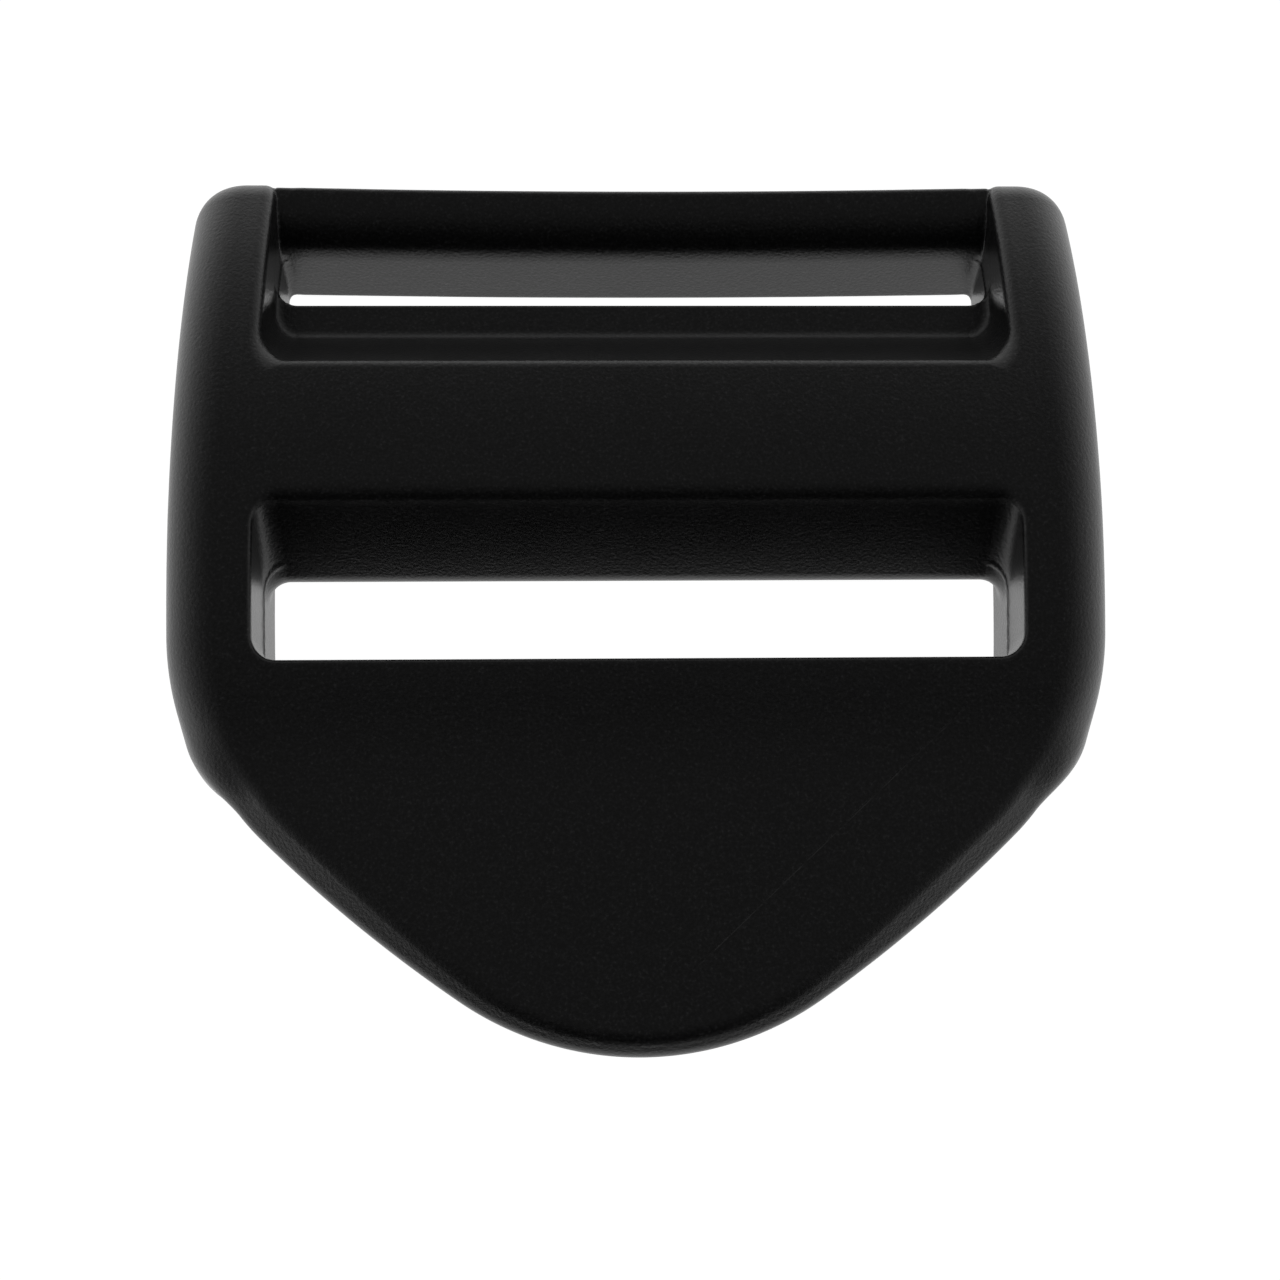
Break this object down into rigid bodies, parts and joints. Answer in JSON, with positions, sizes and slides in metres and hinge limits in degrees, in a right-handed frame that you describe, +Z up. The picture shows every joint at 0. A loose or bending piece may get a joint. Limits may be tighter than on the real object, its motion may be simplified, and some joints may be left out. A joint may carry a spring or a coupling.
{
  "type": "ladder lock buckle",
  "caption": "Arched one-piece webbing adjuster with an anchor bar, a wide centre bar and a V-shaped thumb tab for tilting it to release the strap.",
  "frame": {"origin": "centre of the footprint, on the plane that the rails' feet rest on", "axes": "+X across the webbing, +Y along the webbing from the thumb tab to the anchor bar, +Z up through the arched front face"},
  "size_m": [0.049, 0.0472, 0.0117],
  "materials": {
    "moulding": "satin moulded acetal, fine grain"
  },
  "bodies": {
    "root": {"left_rail": "moulding", "right_rail": "moulding", "anchor_bar": "moulding", "centre_bar": "moulding", "thumb_tab": "moulding"}
  },
  "joints": []
}
